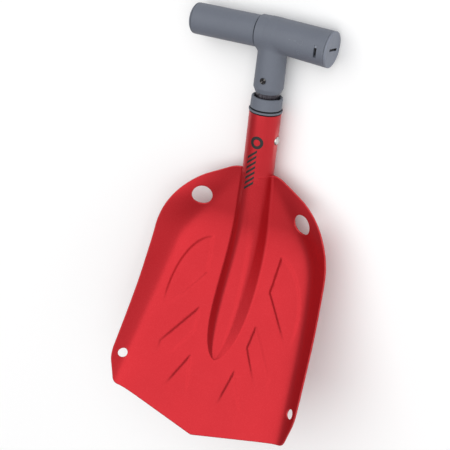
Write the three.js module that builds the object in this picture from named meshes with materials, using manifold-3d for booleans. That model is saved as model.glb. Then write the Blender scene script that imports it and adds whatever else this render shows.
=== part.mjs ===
// A telescopic avalanche shovel: a pressed aluminium blade welded to a red outer tube, and an inner shaft
// with a T handle that slides in it and locks with snap buttons.
// Millimetres. While it is built, Y runs up the shaft from the mouth of the outer tube, X is across the
// blade and Z points out of its scoop. The finished group stands on the middle of its underside.
import * as THREE from 'three';
import { mergeVertices } from 'three/addons/utils/BufferGeometryUtils.js';
import Module from 'manifold-3d';

const wasm = await Module();
wasm.setup();

// Driving dimensions.
const GAP = 0.3;                 // clearance between pieces that touch
const ROUND = 36;                // sides of a round piece
const DEG = Math.PI / 180;

const TUBE_R = 15;               // outer tube, outside
const TUBE_BORE = 13.5;
const SWAGE_TOP = -57.5;         // the tube is swaged below this, so that the ridge lies flush over it
const SWAGE_BOTTOM = -60.5;
const SWAGE_R = 13.5;
const SWAGE_BORE = 12.45;
const SWAGE_SHIFT = -1.2;       // the swaged part is set back, so that its back stays straight
const TUBE_END = -178;

const SHAFT_FLAT = 10.35;        // inner shaft, from its axis to a flat
const SHAFT_WALL = 1.5;
const SHAFT_TOP = 55;
const SHAFT_END = -172;
const SIDES = 8;
const OCTAGON = 1 / Math.cos(Math.PI / SIDES);

const BUTTON_Y = -25.3;          // the lock hole in the outer tube
const BUTTON_R = 3.9;
const BUTTON_TOP = 16.8;
const BUTTON_BASE = 6.6;
const TRAVEL = 130;              // from collapsed to extended
const LOWER_PRESS = 4.9;         // how far the tube holds the lower button in while the shaft is collapsed

const SHEET = 1.6;               // blade
const BLADE_TOP = -59.5;
const TIP_Y = -309.2;
const TIP_Z = 86.6;
const BEND_Y = -108;             // the floor leaves the line of the shaft here
const LIP_SLOPE = 0.42;
const RIDGE_END = -242;
const BIG_HOLE = { x: 53.1, y: -98.1, r: 10 };
const SMALL_HOLE = { x: 91.4, y: -259, r: 4.5 };

const HANDLE_Y = 73.5;           // where the arms of the T meet
const DROOP = 1.7 * DEG;         // each arm leans this far towards the blade
const NECK_R = [14, 13.3];       // at its foot and at the arms
const NECK_END = 19.3;
const NECK_CHAMFER = 22.8;
const BARREL_END = 54.6;         // right arm, along its own axis
const STUB_END = 13.8;           // where the barrel ends on the left arm
const BARREL_R = [15.8, 16.6];
const BARREL_BORE = 13;
const GRIP_R = 14.5;             // left arm
const GRIP_END = 78.6;
const SLEEVE_GAP = 1.2;          // an open groove between the barrel and the grip's sleeve
const RIVET_Y = 32.6;
const WINDOW = 46.6;             // middle of the window slot, along the right arm
const WINDOW_HALF = 1.4;         // half of its width
const WINDOW_UP = 17;            // it reaches this many degrees above the barrel's front,
const WINDOW_DOWN = 24;          // and this many below
const LUG_TURN = 7;              // the indicator's own angle
const COIN_SLOT = [2.4, 1.8, 17]; // in the cap's face: width, depth and length
const SLOT_TURN = -9 * DEG;      // about the arm, from the front

const RED = 0xd02a31;
const GREY = 0x6e7380;
const LIGHT_GREY = 0x8a8f9b;
const BLACK = 0x17181a;
const DARK_METAL = 0x3a3a42;
const STEEL = 0xb9bcc0;

// A closed geometry becomes a solid, with its faces turned outwards.
function solid(geometry) {
  const bare = geometry.clone();
  bare.deleteAttribute('normal');
  bare.deleteAttribute('uv');
  const merged = mergeVertices(bare, 1e-4);
  const triVerts = dropSlivers(merged.index.array);
  const vertProperties = new Float32Array(merged.attributes.position.array);
  if (signedVolume(vertProperties, triVerts) < 0) {
    triVerts.reverse();
  }
  return new wasm.Manifold(new wasm.Mesh({ numProp: 3, vertProperties, triVerts }));
}

// Triangles that have lost a side where a profile meets its axis.
function dropSlivers(index) {
  const kept = [];
  for (let i = 0; i < index.length; i += 3) {
    const [a, b, c] = [index[i], index[i + 1], index[i + 2]];
    if (a !== b && b !== c && c !== a) {
      kept.push(a, b, c);
    }
  }
  return new Uint32Array(kept);
}

function signedVolume(points, index) {
  const corner = [new THREE.Vector3(), new THREE.Vector3(), new THREE.Vector3()];
  let sum = 0;
  for (let i = 0; i < index.length; i += 3) {
    corner.forEach((p, k) => p.fromArray(points, 3 * index[i + k]));
    sum += corner[0].dot(corner[1].cross(corner[2]));
  }
  return sum / 6;
}

function geometryOf(body) {
  const mesh = body.getMesh();
  const geometry = new THREE.BufferGeometry();
  geometry.setAttribute('position', new THREE.BufferAttribute(mesh.vertProperties, 3));
  geometry.setIndex(new THREE.BufferAttribute(mesh.triVerts, 1));
  geometry.computeVertexNormals();
  return geometry;
}

// A solid of revolution about Y. The profile is a list of [radius, height].
function turned(profile, sides = ROUND) {
  const points = profile.map(([r, h]) => new THREE.Vector2(r, h));
  return new THREE.LatheGeometry(points, sides, Math.PI / sides);
}

// A ring of rectangular section.
function ring(inner, outer, low, high, sides = ROUND) {
  return turned([[inner, low], [outer, low], [outer, high], [inner, high], [inner, low]], sides);
}

function rod(radius, low, high, sides = ROUND) {
  return turned([[0, low], [radius, low], [radius, high], [0, high]], sides);
}

// The right arm's frame has its Y along the arm, away from the neck. The left arm is its mirror image.
function alongArm(geometry, side) {
  return geometry.rotateZ(-side * (Math.PI / 2 + DROOP)).translate(0, HANDLE_Y, 0);
}

// A piece of a ring about Y, between two angles counted from +X towards +Z.
function ringSector(inner, outer, low, high, from, to) {
  const shape = new THREE.Shape();
  shape.absarc(0, 0, outer, from * DEG, to * DEG, false);
  shape.absarc(0, 0, inner, to * DEG, from * DEG, true);
  const sector = new THREE.ExtrudeGeometry(shape, { depth: high - low, bevelEnabled: false, curveSegments: 6 });
  return sector.rotateX(Math.PI / 2).translate(0, high, 0);
}

// ---- Blade: its scoop side as a height above the plane of the shaft's axis ----

// The floor follows the shaft, then bends forwards to the lip.
function floorHeight(y) {
  if (y > BEND_Y) {
    return 0;
  }
  const length = BEND_Y - TIP_Y;
  const t = (BEND_Y - y) / length;
  return TIP_Z * (3 * t ** 2 - 2 * t ** 3) + LIP_SLOPE * length * (t ** 3 - t ** 2);
}

// The wings turn up along a fold that runs outwards towards the lip. At the heel they are much flatter.
function wingHeight(x, y) {
  const heel = THREE.MathUtils.smoothstep(y, -171, -60);
  const slope = THREE.MathUtils.lerp(1.3, 0.15, heel);
  const below = -130 - y;
  const fold = 65.5 + 0.5 * below - 0.38 * (Math.hypot(below, 20) - 20);
  const past = Math.abs(x) - fold;
  return slope * (past + Math.hypot(past, 7)) / 2;
}

// The ridge is as round as the tube at the top, widens, and dies out in the floor.
function ridgeHeight(x, y) {
  const s = THREE.MathUtils.clamp((BLADE_TOP - y) / (BLADE_TOP - RIDGE_END), 0, 1);
  const halfWidth = (18 + 7 * s) * (1 - s ** 5) ** 0.72;
  const across = Math.abs(x) / Math.max(halfWidth, 0.01);
  if (across >= 1) {
    return 0;
  }
  return TUBE_R * (1 - s ** 3) ** 0.8 * (1 - across ** 2.4) ** 1.1;
}

function scoopSide(x, y) {
  return floorHeight(y) + wingHeight(x, y) + ridgeHeight(x, y);
}

// Square to the scoop side. It isn't cut to unit length: its Z is one.
function scoopNormal(x, y) {
  const step = 0.5;
  const slopeX = (scoopSide(x + step, y) - scoopSide(x - step, y)) / (2 * step);
  const slopeY = (scoopSide(x, y + step) - scoopSide(x, y - step)) / (2 * step);
  return new THREE.Vector3(-slopeX, -slopeY, 1);
}

// The back lies one sheet thickness behind, square to the surface.
function backSide(x, y) {
  return scoopSide(x, y) - SHEET * scoopNormal(x, y).length();
}

// The outline's right half is drawn, and the left half mirrors it.
function bladeOutline() {
  const half = new THREE.Path();
  half.moveTo(0, BLADE_TOP);
  half.lineTo(17, BLADE_TOP);
  half.quadraticCurveTo(23.5, BLADE_TOP, 31, -64.2);
  half.lineTo(50, -74.1);
  half.quadraticCurveTo(85.6, -95.5, 90.2, -133);
  half.lineTo(99.4, -250);
  half.quadraticCurveTo(100.3, -260, 98, -268);
  half.lineTo(94.3, -282.5);
  half.quadraticCurveTo(92.9, -288, 88.5, -289);
  half.lineTo(3, -308.6);
  half.quadraticCurveTo(1, TIP_Y, 0, TIP_Y);
  const right = half.getPoints(8);
  const left = right.slice(1, -1).reverse().map((p) => new THREE.Vector2(-p.x, p.y));
  return new THREE.Shape([...right, ...left]);
}

// The columns of the sheet's grid stand closer over the ridge and the wings.
const COLUMNS = [0, 5, 9, 12, 14.5, 16.5, 18.5, 22, 32, 44, 56, 66, 72, 78, 84, 90, 97, 106];
const GRID_TOP = -55;
const GRID_BOTTOM = -313;
const ROWS = 27;

function bladeSheet() {
  const last = COLUMNS.length - 1;
  const box = new THREE.BoxGeometry(2 * last, GRID_TOP - GRID_BOTTOM, 2, 2 * last, ROWS, 1);
  const position = box.attributes.position;
  for (let i = 0; i < position.count; i += 1) {
    const column = Math.round(position.getX(i));
    const x = Math.sign(column) * COLUMNS[Math.abs(column)];
    const y = position.getY(i) + (GRID_TOP + GRID_BOTTOM) / 2;
    const z = position.getZ(i) > 0 ? scoopSide(x, y) : backSide(x, y);
    position.setXYZ(i, x, y, z);
  }
  return solid(box);
}

function blade() {
  const prism = new THREE.ExtrudeGeometry(bladeOutline(), { depth: 160, bevelEnabled: false });
  let body = bladeSheet().intersect(solid(prism.translate(0, 0, -30)));
  for (const side of [-1, 1]) {
    for (const hole of [BIG_HOLE, SMALL_HOLE]) {
      const x = side * hole.x;
      const axis = scoopNormal(x, hole.y).normalize();
      const cutter = new THREE.CylinderGeometry(hole.r, hole.r, 12, 28);
      cutter.applyQuaternion(new THREE.Quaternion().setFromUnitVectors(THREE.Object3D.DEFAULT_UP, axis));
      cutter.translate(x, hole.y, scoopSide(x, hole.y));
      body = body.subtract(solid(cutter));
    }
  }
  return geometryOf(body);
}

// ---- Outer tube and its mouth ----

function shaftOuter() {
  const profile = [
    [TUBE_R, 0], [TUBE_R, SWAGE_TOP], [SWAGE_R, SWAGE_BOTTOM], [SWAGE_R, TUBE_END],
    [SWAGE_BORE, TUBE_END], [SWAGE_BORE, SWAGE_BOTTOM], [TUBE_BORE, SWAGE_TOP], [TUBE_BORE, 0], [TUBE_R, 0],
  ];
  const tube = turned(profile);
  const position = tube.attributes.position;
  for (let i = 0; i < position.count; i += 1) {
    if (position.getY(i) < SWAGE_TOP - 1) {
      position.setZ(i, position.getZ(i) + SWAGE_SHIFT);
    }
  }
  const hole = rod(BUTTON_R + GAP, 10, 20, 24).rotateZ(-Math.PI / 2).translate(0, BUTTON_Y, 0);
  return geometryOf(solid(tube).subtract(solid(hole)));
}

// A weld bead in the corner between the swaged tube and the back of the heel.
function weld(side) {
  const bead = new THREE.CapsuleGeometry(1.7, 38, 3, 8);
  return geometryOf(solid(bead.translate(side * 15.7, -91, -4)));
}

function keyedBore(low, high) {
  return solid(rod((SHAFT_FLAT + GAP) * OCTAGON, low, high, SIDES));
}

// The slot in the bush and the collar that lets the upper lock button through, once it is pressed in.
function buttonWay(low, high) {
  const width = 2 * (BUTTON_R + GAP);
  const way = new THREE.BoxGeometry(TUBE_BORE, high - low, width);
  return solid(way.translate(TUBE_BORE / 2, (low + high) / 2, 0));
}

function guideBush() {
  const body = turned([[0, -16], [13.2, -16], [13.2, 1.3], [15.8, 1.3], [15.8, 3], [0, 3]]);
  return geometryOf(solid(body).subtract(keyedBore(-17, 4)).subtract(buttonWay(-17, 4)));
}

function wiperCollar() {
  const profile = [[12, 4.3], [14.8, 4.3], [14.5, 14.4], [13.9, 15.2], [12.3, 15.2], [12, 14.9], [12, 4.3]];
  return geometryOf(solid(turned(profile)).subtract(buttonWay(4, 16)));
}

// ---- Inner shaft and its locks ----

function shaftInner() {
  const tube = ring((SHAFT_FLAT - SHAFT_WALL) * OCTAGON, SHAFT_FLAT * OCTAGON, SHAFT_END, SHAFT_TOP, SIDES);
  let body = solid(tube);
  for (const y of [BUTTON_Y, BUTTON_Y - TRAVEL]) {
    body = body.subtract(solid(rod(BUTTON_R + GAP, 5, 15, 20).rotateZ(-Math.PI / 2).translate(0, y, 0)));
  }
  return geometryOf(body.subtract(rivetHole()));
}

function shaftEndPlug() {
  const profile = [[0, SHAFT_END - 3.3], [10, SHAFT_END - 3.3], [10.9, SHAFT_END - 2.4],
    [10.9, SHAFT_END - GAP], [8.5, SHAFT_END - GAP], [8.5, SHAFT_END + 6], [0, SHAFT_END + 6]];
  return geometryOf(solid(turned(profile)));
}

// A domed pin with a collar that keeps it inside the shaft. It points along +X.
function lockButton(y, pressed) {
  const profile = [
    [0, BUTTON_BASE], [4.6, BUTTON_BASE], [4.6, BUTTON_BASE + 1], [BUTTON_R, BUTTON_BASE + 1],
    [BUTTON_R, BUTTON_TOP - 1.8], [3.5, BUTTON_TOP - 0.9], [2.2, BUTTON_TOP - 0.2], [0, BUTTON_TOP],
  ];
  return geometryOf(solid(turned(profile, 24).rotateZ(-Math.PI / 2).translate(-pressed, y, 0)));
}

// A strip bent into a U. One leg rests on the far wall of the shaft and the other pushes the button.
function lockSpring(y, pressed) {
  const strip = 0.6;
  const far = -SHAFT_FLAT + SHAFT_WALL + GAP;
  const near = BUTTON_BASE - GAP - pressed;
  const middle = (far + near) / 2;
  const bend = y + 34;
  const foot = y - 6;
  const shape = new THREE.Shape();
  shape.moveTo(near, foot);
  shape.absarc(middle, bend, near - middle, 0, Math.PI, false);
  shape.lineTo(far, foot);
  shape.lineTo(far + strip, foot);
  shape.absarc(middle, bend, near - middle - strip, Math.PI, 0, true);
  shape.lineTo(near - strip, foot);
  const leaf = new THREE.ExtrudeGeometry(shape, { depth: 6, bevelEnabled: false, curveSegments: 8 });
  return geometryOf(solid(leaf.translate(0, 0, -3)));
}

// ---- T handle ----

function rivetHole() {
  return solid(rod(2.5, -20, 20, 16).rotateX(Math.PI / 2).translate(0, RIVET_Y, 0));
}

function handleBody() {
  const barrel = turned([[0, -1], [BARREL_R[0], -1], [BARREL_R[1], BARREL_END], [0, BARREL_END]]);
  const stub = turned([[0, -1], [BARREL_R[0], -1], [BARREL_R[0], STUB_END - 0.6],
    [BARREL_R[0] - 0.6, STUB_END], [0, STUB_END]]);
  const neck = turned([
    [0, NECK_END], [12.2, NECK_END], [NECK_R[0], NECK_CHAMFER], [NECK_R[1], HANDLE_Y], [0, HANDLE_Y],
  ]);
  const core = rod(10.5, 0, 72, 28);
  const socket = solid(rod((SHAFT_FLAT + GAP) * OCTAGON, NECK_END - 1, SHAFT_TOP + GAP, SIDES));
  const window = ringSector(BARREL_BORE - 1, BARREL_R[1] + 2, WINDOW - WINDOW_HALF, WINDOW + WINDOW_HALF,
    90 - WINDOW_DOWN, 90 + WINDOW_UP);
  return geometryOf(solid(alongArm(barrel, 1))
    .add(solid(neck))
    .add(solid(alongArm(stub, -1)))
    .add(solid(alongArm(core, -1)))
    .subtract(socket)
    .subtract(solid(alongArm(rod(BARREL_BORE, 18, BARREL_END + 1), 1)))
    .subtract(solid(alongArm(rod(8, 18, 73, 24), -1)))
    .subtract(solid(alongArm(window, 1)))
    .subtract(rivetHole()));
}

// A tubular rivet from the front of the neck to its back, with a dimple in each head.
function neckRivet() {
  const half = [[0, 14.4], [0.9, 14.9], [1.7, 15], [2.6, 14.7], [2.9, 14.2], [2.2, 14.2]];
  const profile = [...half, ...half.map(([r, h]) => [r, -h]).reverse()];
  return geometryOf(solid(turned(profile, 16).rotateX(Math.PI / 2).translate(0, RIVET_Y, 0)));
}

function gripSleeve() {
  const start = STUB_END + SLEEVE_GAP;
  const profile = [[10.8, start], [GRIP_R, start], [GRIP_R, GRIP_END], [10.8, GRIP_END], [10.8, start]];
  return geometryOf(solid(alongArm(turned(profile), -1)));
}

function gripEndCap() {
  const foot = GRIP_END + GAP;
  const profile = [[0, 72.6], [10.5, 72.6], [10.5, foot], [14.4, foot], [14.1, foot + 0.9],
    [12.6, foot + 2.2], [9, foot + 3], [0, foot + 3.3]];
  return geometryOf(solid(alongArm(turned(profile), -1)));
}

// The cap's head closes the barrel, and its hollow plug reaches in past the window.
function coinCap() {
  const head = BARREL_END + GAP;
  const face = head + 2.2;
  const profile = [
    [0, head - 1], [10.5, head - 1], [10.5, 38], [12.6, 38], [12.6, 50], [11.2, 50], [11.2, 52.4], [12.6, 52.4],
    [12.6, head], [16.6, head], [16.6, face - 0.9], [16.2, face - 0.3], [15.4, face], [0, face],
  ];
  const [width, depth, length] = COIN_SLOT;
  const slot = new THREE.BoxGeometry(width, 2 * depth, length).rotateY(SLOT_TURN).translate(0, face, 0);
  return geometryOf(solid(alongArm(turned(profile), 1)).subtract(solid(alongArm(slot, 1))));
}

function capOring() {
  const section = new THREE.EllipseCurve(12.1, 51.2, 0.75, 0.75).getPoints(8);
  const profile = section.map((p) => [p.x, p.y]);
  profile[profile.length - 1] = profile[0];
  return geometryOf(solid(alongArm(turned(profile, 28), 1)));
}

// It sits at the upper end of the window, and the turning cap carries it down to the lower end.
function indicatorLug() {
  const upper = 90 + WINDOW_UP - 0.5;
  const half = WINDOW_HALF - GAP;
  const lug = ringSector(12.9, 16.1, WINDOW - half, WINDOW + half, upper - LUG_TURN, upper);
  return geometryOf(solid(alongArm(lug, 1)));
}

function piece(name, geometry, color, roughness, metalness = 0) {
  const mesh = new THREE.Mesh(geometry, new THREE.MeshStandardMaterial({ color, roughness, metalness }));
  mesh.name = name;
  return mesh;
}

const shovel = new THREE.Group();
shovel.add(
  piece('blade', blade(), RED, 0.45, 0.6),
  piece('shaft_outer', shaftOuter(), RED, 0.3, 0.7),
  piece('weld_left', weld(-1), RED, 0.5, 0.6),
  piece('weld_right', weld(1), RED, 0.5, 0.6),
  piece('guide_bush', guideBush(), GREY, 0.6),
  piece('end_gasket', geometryOf(solid(ring(13.6, 15.2, 0.3, 1))), BLACK, 0.8),
  piece('seal_ring', geometryOf(solid(ring(13.6, 15, 3.3, 4))), BLACK, 0.8),
  piece('wiper_collar', wiperCollar(), GREY, 0.6),
  piece('shaft_inner', shaftInner(), DARK_METAL, 0.35, 0.8),
  piece('shaft_end_plug', shaftEndPlug(), BLACK, 0.6),
  piece('upper_lock_button', lockButton(BUTTON_Y, 0), STEEL, 0.25, 1),
  piece('lower_lock_button', lockButton(BUTTON_Y - TRAVEL, LOWER_PRESS), STEEL, 0.25, 1),
  piece('upper_lock_spring', lockSpring(BUTTON_Y, 0), STEEL, 0.35, 1),
  piece('lower_lock_spring', lockSpring(BUTTON_Y - TRAVEL, LOWER_PRESS), STEEL, 0.35, 1),
  piece('handle_body', handleBody(), GREY, 0.6),
  piece('neck_rivet', neckRivet(), BLACK, 0.3, 0.8),
  piece('grip_sleeve', gripSleeve(), GREY, 0.6),
  piece('grip_end_cap', gripEndCap(), GREY, 0.6),
  piece('coin_cap', coinCap(), LIGHT_GREY, 0.6),
  piece('cap_oring', capOring(), BLACK, 0.8),
  piece('indicator_lug', indicatorLug(), LIGHT_GREY, 0.5),
);

// Stand the shovel on the middle of its underside.
const bounds = new THREE.Box3().setFromObject(shovel);
const middle = bounds.getCenter(new THREE.Vector3());
shovel.position.set(-middle.x, -middle.y, -bounds.min.z);

export default shovel;
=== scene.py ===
import math

import bmesh
import bpy
import numpy as np
from mathutils import Matrix, Vector
from mathutils.geometry import delaunay_2d_cdt


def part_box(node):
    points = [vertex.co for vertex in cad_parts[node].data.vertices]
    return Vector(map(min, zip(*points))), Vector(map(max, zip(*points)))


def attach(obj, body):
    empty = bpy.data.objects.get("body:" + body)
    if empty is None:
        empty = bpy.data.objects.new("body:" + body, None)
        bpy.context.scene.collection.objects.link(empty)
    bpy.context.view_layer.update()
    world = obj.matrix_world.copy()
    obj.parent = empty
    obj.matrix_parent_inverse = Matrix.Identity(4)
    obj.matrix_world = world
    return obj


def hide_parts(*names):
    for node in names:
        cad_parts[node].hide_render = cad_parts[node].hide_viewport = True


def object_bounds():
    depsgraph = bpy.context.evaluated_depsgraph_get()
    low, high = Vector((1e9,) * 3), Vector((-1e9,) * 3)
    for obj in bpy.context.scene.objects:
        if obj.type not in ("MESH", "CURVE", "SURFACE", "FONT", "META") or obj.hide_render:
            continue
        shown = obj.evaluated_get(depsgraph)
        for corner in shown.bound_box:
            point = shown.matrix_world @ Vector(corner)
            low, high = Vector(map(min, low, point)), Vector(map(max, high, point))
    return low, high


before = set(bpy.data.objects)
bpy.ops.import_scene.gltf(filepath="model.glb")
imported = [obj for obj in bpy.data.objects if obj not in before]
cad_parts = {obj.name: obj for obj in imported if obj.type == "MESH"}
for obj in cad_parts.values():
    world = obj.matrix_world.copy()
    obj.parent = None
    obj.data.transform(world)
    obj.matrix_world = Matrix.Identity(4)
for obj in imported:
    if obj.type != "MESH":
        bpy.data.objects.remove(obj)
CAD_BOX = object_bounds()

# Shapes are worked out in millimetres in the shaft's frame: the origin is the middle of the outer tube's
# mouth, X is across the blade, Y runs up the shaft to the handle and Z points out of the scoop.
MM = 0.001
TUBE_LOW, TUBE_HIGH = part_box("shaft_outer")
ORIGIN = np.array([(TUBE_LOW.x + TUBE_HIGH.x) / 2, TUBE_HIGH.y, (TUBE_LOW.z + TUBE_HIGH.z) / 2]) / MM

GAP = 0.3
RING_FILLET = 0.3
TUBE_R = 15.0
TUBE_BORE = 13.5
SWAGE_R = 13.5
SWAGE_BORE = 12.45
SWAGE_SHIFT = -1.2
TUBE_END = -178.0

SHAFT_FLAT = 10.35
SHAFT_WALL = 1.5
SHAFT_TOP = 55.0
SHAFT_END = -172.0
BUTTON_Y = -25.3
BUTTON_R = 3.9
BUTTON_TOP = 16.8
BUTTON_BASE = 6.6
TRAVEL = 130.0
LOWER_PRESS = 4.9

SHEET = 1.6
FOOT_R = 3.0
BLADE_TOP = -59.5
TIP_Y = -309.2
TIP_Z = 86.6
BEND_Y = -108.0
LIP_SLOPE = 0.42
RIDGE_END = -242.0

HANDLE_Y = 73.5
DROOP = math.radians(1.7)
NECK_END = 19.3
NECK_CHAMFER = 24.0
CHAMFER_R = 11.8
ARM_START = -5.0
BARREL_R = (15.75, 16.6)
STUB_R = 15.8
BARREL_END = 54.6
STUB_END = 13.8
BARREL_BORE = 13.0
GRIP_R = 14.5
GRIP_END = 78.6
RIVET_Y = 32.6
WINDOW = 46.6
WINDOW_HALF = 1.4
WINDOW_UP = math.radians(17)
WINDOW_DOWN = math.radians(24)
LUG_TURN = math.radians(7)
SLEEVE_GAP = 1.2
COIN_SLOT = (2.4, 1.8, 17.0)
SLOT_TURN = math.radians(-9)


def shift_up(y):
    return Matrix.Translation((0, y, 0))


# Directions in which a turned piece's axis can point.
ALONG_SHAFT = Matrix.Identity(4)
ALONG_X = Matrix.Rotation(-math.pi / 2, 4, "Z")
ALONG_Z = Matrix.Rotation(math.pi / 2, 4, "X")


def along_arm(side):
    """The frame of an arm of the T: its Y runs out along the arm."""
    return shift_up(HANDLE_Y) @ Matrix.Rotation(-side * (math.pi / 2 + DROOP), 4, "Z")


RIGHT_ARM = along_arm(1)
LEFT_ARM = along_arm(-1)


# ---- Shapes: each is a pair of points, an array in millimetres, and faces ----

def moved(shape, matrix):
    points, faces = shape
    turn = np.array(matrix)
    return points @ turn[:3, :3].T + turn[:3, 3], faces


def joined(*shapes):
    points, faces = [], []
    start = 0
    for shape_points, shape_faces in shapes:
        points.append(shape_points)
        faces += [tuple(i + start for i in face) for face in shape_faces]
        start += len(shape_points)
    return np.vstack(points), faces


def rounded(corners, closed, steps=4):
    """A profile whose corners are [radius, height] or [radius, height, fillet], with the fillets drawn in.
    Each straight stretch gets a point close to either end, which keeps its shading straight."""
    ends = []
    for i, corner in enumerate(corners):
        here = np.array(corner[:2], float)
        fillet = corner[2] if len(corner) > 2 else 0
        if fillet == 0:
            ends.append([here])
            continue
        before = np.array(corners[i - 1][:2]) - here
        after = np.array(corners[(i + 1) % len(corners)][:2]) - here
        room = 0.45 * min(np.linalg.norm(before), np.linalg.norm(after))
        before /= np.linalg.norm(before)
        after /= np.linalg.norm(after)
        half = math.acos(np.clip(before @ after, -1, 1)) / 2
        reach = min(fillet / math.tan(half), room)
        middle = before + after
        centre = here + middle / np.linalg.norm(middle) * reach / math.cos(half)
        first = here + before * reach - centre
        last = here + after * reach - centre
        radius = np.linalg.norm(first)
        arc = []
        for k in range(steps + 1):
            blend = first * (1 - k / steps) + last * (k / steps)
            arc.append(centre + blend / np.linalg.norm(blend) * radius)
        ends.append(arc)
    profile = []
    count = len(ends)
    for i, arc in enumerate(ends):
        profile += arc
        if i == count - 1 and not closed:
            break
        start, stop = arc[-1], ends[(i + 1) % count][0]
        length = np.linalg.norm(stop - start)
        margin = min(0.35, 0.2 * length)
        if length > 0.8:
            profile.append(start + (stop - start) * margin / length)
            profile.append(stop - (stop - start) * margin / length)
    return np.array(profile)


def turned(corners, closed=False, sides=128, steps=4):
    """A solid of revolution about Y. An open profile starts and ends on the axis."""
    profile = rounded(corners, closed, steps)
    angle = 2 * math.pi * (np.arange(sides) + 0.5) / sides
    count = len(profile)
    points = np.zeros((sides, count, 3))
    points[:, :, 0] = np.sin(angle)[:, None] * profile[:, 0]
    points[:, :, 1] = profile[:, 1]
    points[:, :, 2] = np.cos(angle)[:, None] * profile[:, 0]
    faces = []
    stretches = count if closed else count - 1
    for i in range(sides):
        here, there = i * count, ((i + 1) % sides) * count
        for k in range(stretches):
            a, b = k, (k + 1) % count
            faces.append((here + a, there + a, there + b, here + b))
    return merged(points.reshape(-1, 3), faces)


def merged(points, faces, distance=1e-5):
    """The same shape with doubled points joined and its faces turned outwards."""
    work = bmesh.new()
    made = [work.verts.new(p) for p in points]
    for face in faces:
        work.faces.new([made[i] for i in face])
    bmesh.ops.remove_doubles(work, verts=work.verts, dist=distance)
    bmesh.ops.recalc_face_normals(work, faces=work.faces)
    work.verts.index_update()
    result = np.array([v.co for v in work.verts]), [tuple(v.index for v in f.verts) for f in work.faces]
    work.free()
    return result


def ring(inner, outer, low, high):
    corners = [[inner, low, RING_FILLET], [outer, low, RING_FILLET], [outer, high, RING_FILLET],
               [inner, high, RING_FILLET]]
    return turned(corners, closed=True)


def rod(radius, low, high, sides=64):
    return turned([[0, low], [radius, low], [radius, high], [0, high]], sides=sides)


def prism(outline, low, high):
    """An outline in X and Z, carried along Y."""
    count = len(outline)
    points = [(x, y, z) for y in (low, high) for x, z in outline]
    faces = [tuple(range(count)), tuple(range(2 * count - 1, count - 1, -1))]
    faces += [(i, i + count, (i + 1) % count + count, (i + 1) % count) for i in range(count)]
    return merged(np.array(points, float), faces)


def swept(points, count):
    """The faces over a row of sections of count points each, with a cap at either end."""
    faces = []
    last = len(points) - count
    for start in range(0, last, count):
        for k in range(count):
            a, b = start + k, start + (k + 1) % count
            faces.append((a, b, b + count, a + count))
    return faces + [tuple(range(count)), tuple(last + k for k in reversed(range(count)))]


def octagon(flat, corner=0.0):
    """A regular octagon with flats at right angles to X and Z. Its corners may be rounded."""
    reach = flat / math.cos(math.pi / 8)
    angles = [math.pi / 8 + k * math.pi / 4 for k in range(8)]
    corners = [[reach * math.cos(a), reach * math.sin(a), corner] for a in angles]
    return rounded(corners, closed=True) if corner else np.array([c[:2] for c in corners])


def boxed(low, high):
    outline = [(low[0], low[2]), (high[0], low[2]), (high[0], high[2]), (low[0], high[2])]
    return prism(outline, low[1], high[1])


def loose_object(shape):
    points, faces = shape
    mesh = bpy.data.meshes.new("shape")
    mesh.from_pydata(points.tolist(), [], faces)
    obj = bpy.data.objects.new("shape", mesh)
    bpy.context.scene.collection.objects.link(obj)
    return obj


def taken(obj):
    """The shape of an object with its modifiers applied. The object is removed."""
    graph = bpy.context.evaluated_depsgraph_get()
    mesh = bpy.data.meshes.new_from_object(obj.evaluated_get(graph))
    points = np.zeros(len(mesh.vertices) * 3)
    mesh.vertices.foreach_get("co", points)
    faces = [tuple(p.vertices) for p in mesh.polygons]
    bpy.data.meshes.remove(mesh)
    bpy.data.objects.remove(obj)
    return points.reshape(-1, 3), faces


def combined(shape, *tools, operation="DIFFERENCE"):
    """Cuts the tools from the shape, or joins them to it."""
    body = loose_object(shape)
    others = [loose_object(tool) for tool in tools]
    for other in others:
        step = body.modifiers.new("join", "BOOLEAN")
        step.operation = operation
        step.solver = "EXACT"
        step.object = other
    result = taken(body)
    for other in others:
        bpy.data.objects.remove(other)
    return result


def piece(name, shape, material, body, nodes=(), sharp=38, normals=None):
    """A shown piece. It rides on a body and stands for the CAD nodes named."""
    points, faces = shape
    mesh = bpy.data.meshes.new(name)
    mesh.from_pydata(((points + ORIGIN) * MM).tolist(), [], faces)
    mesh.shade_smooth()
    if normals is None:
        mesh.set_sharp_from_angle(angle=math.radians(sharp))
    else:
        mesh.normals_split_custom_set_from_vertices(normals.tolist())
    obj = bpy.data.objects.new(name, mesh)
    bpy.context.scene.collection.objects.link(obj)
    mesh.materials.append(material)
    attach(obj, body)
    if nodes:
        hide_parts(*nodes)
    return obj


# ---- Materials ----

def srgb(red, green, blue):
    """A linear colour from screen values of 0 to 255."""
    parts = (red, green, blue)
    return tuple(((c / 255 + 0.055) / 1.055) ** 2.4 if c > 10 else c / 255 / 12.92 for c in parts) + (1,)


def map_range(tree, source, low, high, to_low, to_high):
    node = tree.nodes.new("ShaderNodeMapRange")
    for socket, value in (("From Min", low), ("From Max", high), ("To Min", to_low), ("To Max", to_high)):
        node.inputs[socket].default_value = value
    tree.links.new(source, node.inputs["Value"])
    return node.outputs["Result"]


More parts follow.
